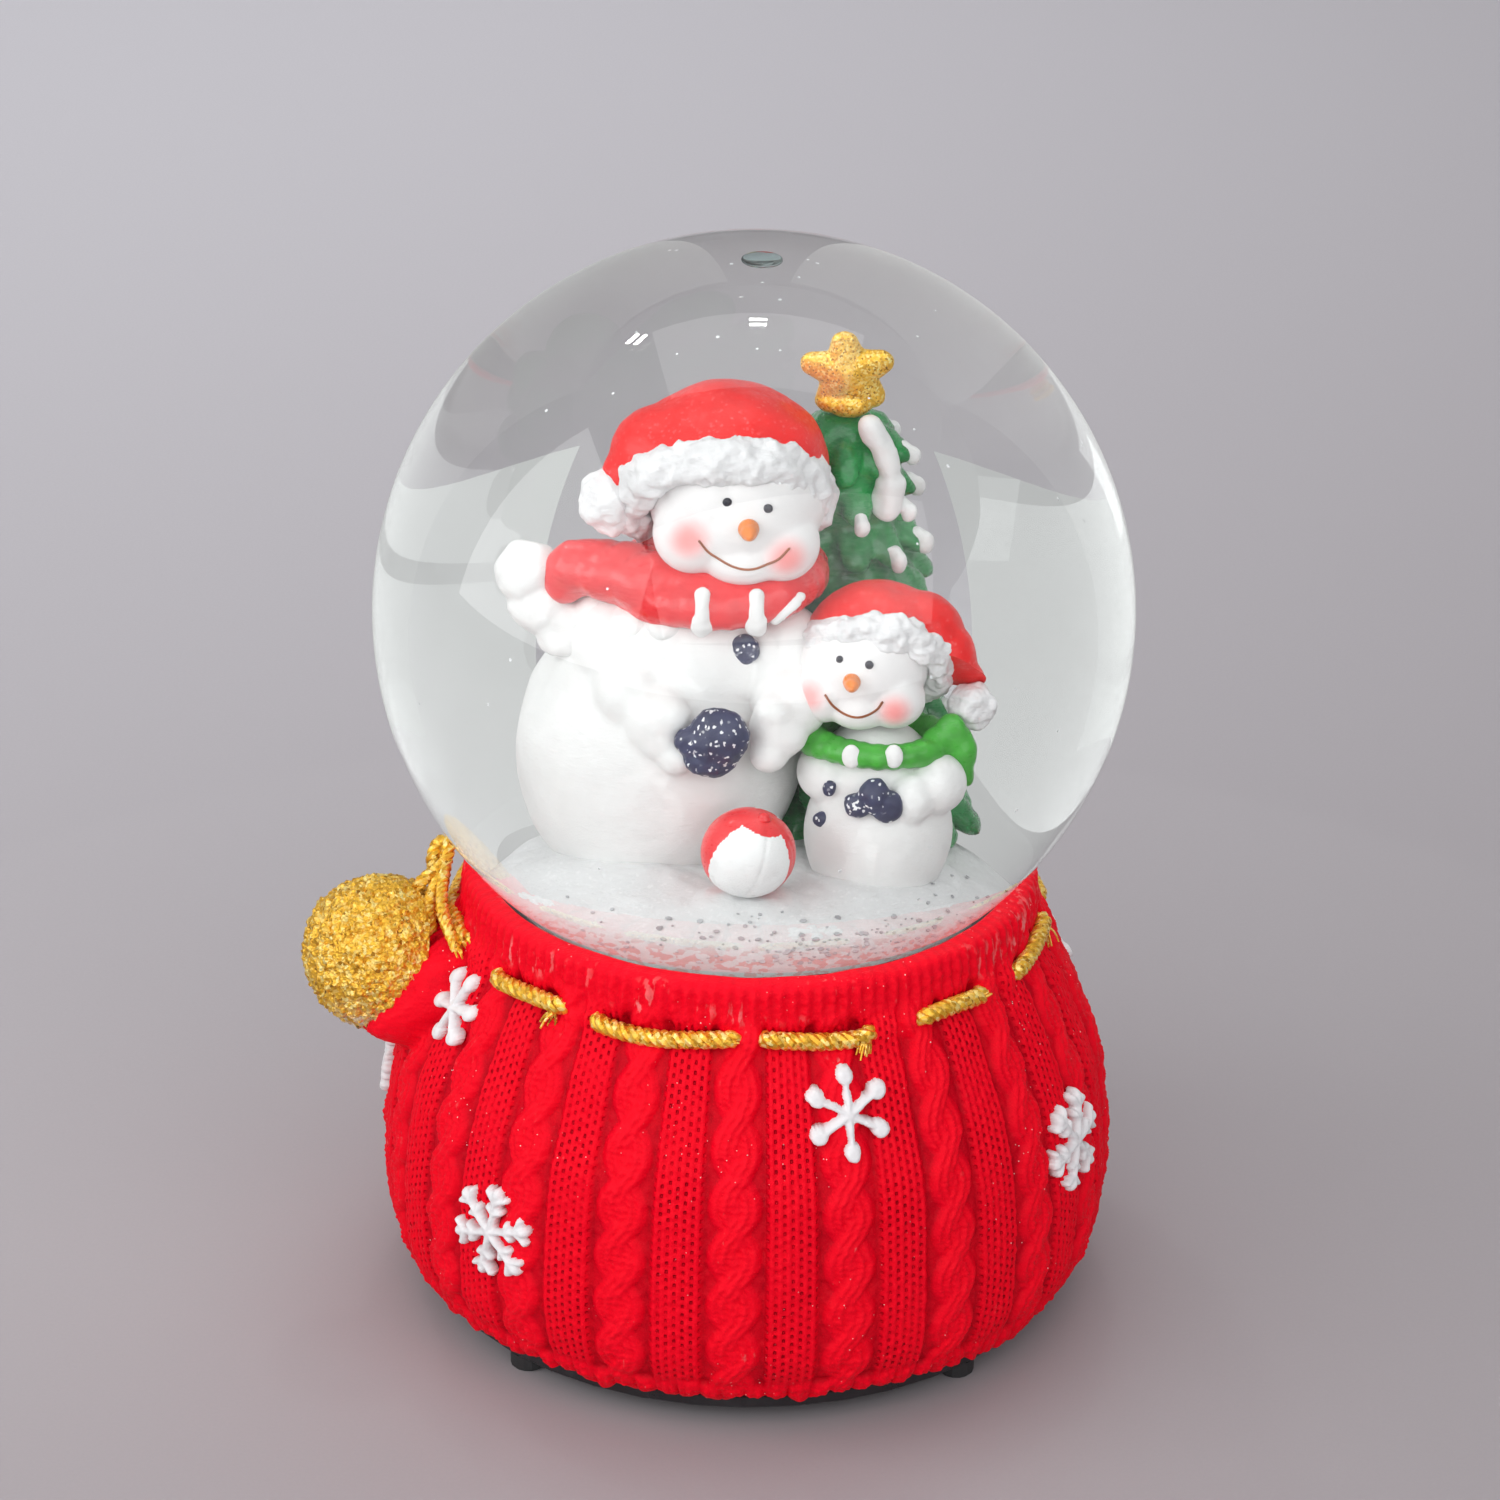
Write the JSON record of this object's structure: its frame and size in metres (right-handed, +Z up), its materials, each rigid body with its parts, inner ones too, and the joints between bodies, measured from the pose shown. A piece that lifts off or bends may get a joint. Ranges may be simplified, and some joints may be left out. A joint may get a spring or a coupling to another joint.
{
  "type": "snow globe",
  "caption": "Musical snow globe: water-filled glass ball with two snowmen, a fir tree and a ball, on a red knit-look drawstring sack with a wind-up movement and key below.",
  "frame": {"origin": "middle of the bounding box, on the surface that the feet stand on", "axes": "+Z up through the globe, -Y towards the front of the figures, -X towards the pom-pom"},
  "size_m": [0.1106, 0.1, 0.148],
  "materials": {
    "sack_red": "painted cast resin with a cable-knit relief",
    "gold_paint": "gold paint with coarse glitter",
    "flake_white": "matt white paint over raised relief",
    "clear_glass": "clear blown glass",
    "black_rubber": "soft black rubber",
    "snow_white": "matt white paint with a snow texture",
    "figure_white": "satin white paint with painted details",
    "figure_red": "satin red paint, brushed by hand",
    "figure_green": "satin green paint",
    "fir_green": "glossy dark green paint with white snow",
    "black_plastic": "fine moulded texture",
    "steel": "bright steel",
    "brass": "turned and stamped brass",
    "zinc_casting": "plated die casting",
    "clear_plastic": "clear moulded cover"
  },
  "bodies": {
    "base": {"sack_base": "sack_red", "drawstring": "gold_paint", "drawstring_bow": "gold_paint", "pompom": "gold_paint", "snowflake_1": "flake_white", "snowflake_2": "flake_white", "snowflake_3": "flake_white", "snowflake_4": "flake_white", "snowflake_5": "flake_white", "snowflake_6": "flake_white", "snowflake_7": "flake_white", "snowflake_8": "flake_white", "glass_globe": "clear_glass", "rubber_stopper": "black_rubber", "globe_seal": "black_rubber", "snow_mound": "snow_white", "parent_body": "figure_white", "parent_head": "figure_white", "parent_hat": "figure_red", "parent_hat_brim": "snow_white", "parent_hat_pompom": "snow_white", "parent_scarf": "figure_red", "child_body": "figure_white", "child_head": "figure_white", "child_hat": "figure_red", "child_hat_brim": "snow_white", "child_hat_pompom": "snow_white", "child_scarf": "figure_green", "beach_ball": "figure_white", "fir_tree": "fir_green", "tree_star": "gold_paint", "base_plate": "black_plastic", "plate_screw_1": "steel", "plate_screw_2": "steel", "plate_screw_3": "steel", "movement_screw_1": "steel", "movement_screw_2": "steel", "movement_screw_3": "steel", "foot_1": "black_rubber", "foot_2": "black_rubber", "foot_3": "black_rubber", "foot_4": "black_rubber", "movement_bedplate": "zinc_casting", "steel_comb": "steel", "comb_screw_1": "steel", "comb_screw_2": "steel", "governor_bracket": "steel", "movement_cover": "clear_plastic"},
    "winding": {"winding_arbor": "steel", "winding_key": "brass"},
    "barrel": {"spring_barrel": "brass", "mainspring": "steel", "barrel_cap": "brass"},
    "cylinder": {"music_cylinder": "brass", "cylinder_pinion": "brass", "cylinder_gear": "brass"},
    "wheel": {"governor_wheel": "brass"},
    "fly": {"governor_fan": "steel"}
  },
  "joints": [
    {"name": "winding_turn", "type": "hinge", "parent": "base", "child": "winding", "pos_m": [0.0053, 0, 0.0072], "axis": [0, 0, 1], "range_deg": [0, 1260]},
    {"name": "barrel_turn", "type": "hinge", "parent": "base", "child": "barrel", "pos_m": [0.0053, 0, 0.0215], "axis": [0, 0, 1], "continuous": true},
    {"name": "cylinder_turn", "type": "hinge", "parent": "base", "child": "cylinder", "pos_m": [0.0213, 0, 0.024], "axis": [1, 0, 0], "continuous": true},
    {"name": "governor_wheel_turn", "type": "hinge", "parent": "base", "child": "wheel", "pos_m": [0.0363, -0.0096, 0.024], "axis": [1, 0, 0], "continuous": true},
    {"name": "governor_fan_turn", "type": "hinge", "parent": "base", "child": "fly", "pos_m": [0.0367, -0.0152, 0.024], "axis": [0, 0, 1], "continuous": true}
  ],
  "couplings": [
    {"joint": "cylinder_turn", "follows": "barrel_turn", "ratio": 2},
    {"joint": "governor_wheel_turn", "follows": "barrel_turn", "ratio": -5},
    {"joint": "governor_fan_turn", "follows": "barrel_turn", "ratio": -120}
  ]
}
